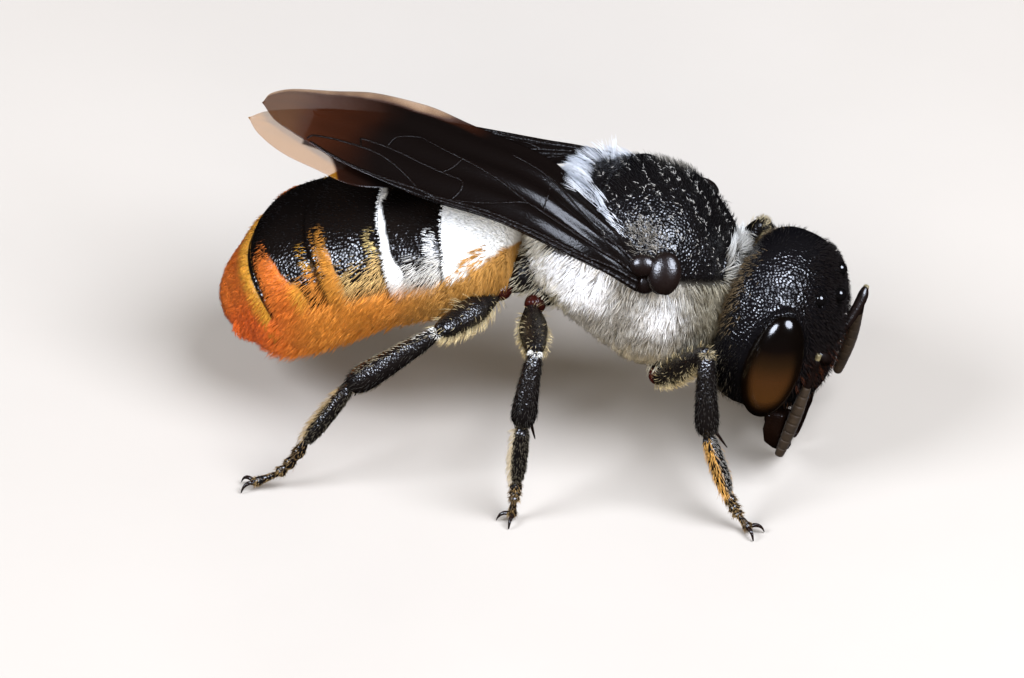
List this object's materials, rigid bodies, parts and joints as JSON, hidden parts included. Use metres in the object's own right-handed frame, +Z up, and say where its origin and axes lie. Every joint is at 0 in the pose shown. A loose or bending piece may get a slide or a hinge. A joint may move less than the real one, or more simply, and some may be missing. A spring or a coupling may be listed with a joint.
{
  "type": "resin bee",
  "caption": "Still life-size female resin bee, standing head down with her dark wings folded over a black, white-banded body with an orange brush.",
  "frame": {"origin": "under the middle of the whole bee's bounding box, on the floor", "axes": "+X the way she faces, +Y her left side, +Z up"},
  "size_m": [0.0152, 0.01, 0.0073],
  "materials": {
    "cuticle_black": "black chitin, densely pitted, with a soft gloss and blue-white glints",
    "abdomen_black": "black pitted chitin plates with white, gold and orange hair bands",
    "hair_white": "long dense off-white hair over black chitin",
    "hair_orange": "flat-lying golden to orange-red hair",
    "eye_brown": "glossy faceted compound eye, black-brown above and amber-brown below",
    "antenna_grey": "matt grey-brown feeler drums",
    "wing_brown": "smoky brown membrane with dark veins, clearer amber-brown at the tip",
    "leg_black": "black chitin with short pale hairs and bristles",
    "claw_brown": "brown-black horn"
  },
  "bodies": {
    "root": {"abdomen_1": "abdomen_black", "abdomen_2": "abdomen_black", "abdomen_3": "abdomen_black", "abdomen_4": "abdomen_black", "abdomen_5": "hair_orange", "abdomen_6": "hair_orange", "basitarsus_fore_left": "leg_black", "basitarsus_fore_right": "leg_black", "basitarsus_hind_left": "leg_black", "basitarsus_hind_right": "leg_black", "basitarsus_mid_left": "leg_black", "basitarsus_mid_right": "leg_black", "coxa_fore_left": "leg_black", "coxa_fore_right": "leg_black", "coxa_hind_left": "leg_black", "coxa_hind_right": "leg_black", "coxa_mid_left": "leg_black", "coxa_mid_right": "leg_black", "eye_left": "eye_brown", "eye_right": "eye_brown", "femur_fore_left": "leg_black", "femur_fore_right": "leg_black", "femur_hind_left": "leg_black", "femur_hind_right": "leg_black", "femur_mid_left": "leg_black", "femur_mid_right": "leg_black", "flagellum_left": "antenna_grey", "flagellum_right": "antenna_grey", "forewing_left": "wing_brown", "forewing_right": "wing_brown", "head": "cuticle_black", "hindwing_left": "wing_brown", "hindwing_right": "wing_brown", "labrum": "cuticle_black", "mandible_left": "cuticle_black", "mandible_right": "cuticle_black", "proboscis": "claw_brown", "pronotum": "hair_white", "propodeum": "cuticle_black", "scape_left": "cuticle_black", "scape_right": "cuticle_black", "scutellum": "cuticle_black", "scutum": "cuticle_black", "tarsus_fore_left": "claw_brown", "tarsus_fore_right": "claw_brown", "tarsus_hind_left": "claw_brown", "tarsus_hind_right": "claw_brown", "tarsus_mid_left": "claw_brown", "tarsus_mid_right": "claw_brown", "tegula_left": "cuticle_black", "tegula_right": "cuticle_black", "thorax_trunk": "hair_white", "tibia_fore_left": "leg_black", "tibia_fore_right": "leg_black", "tibia_hind_left": "leg_black", "tibia_hind_right": "leg_black", "tibia_mid_left": "leg_black", "tibia_mid_right": "leg_black"}
  },
  "joints": []
}
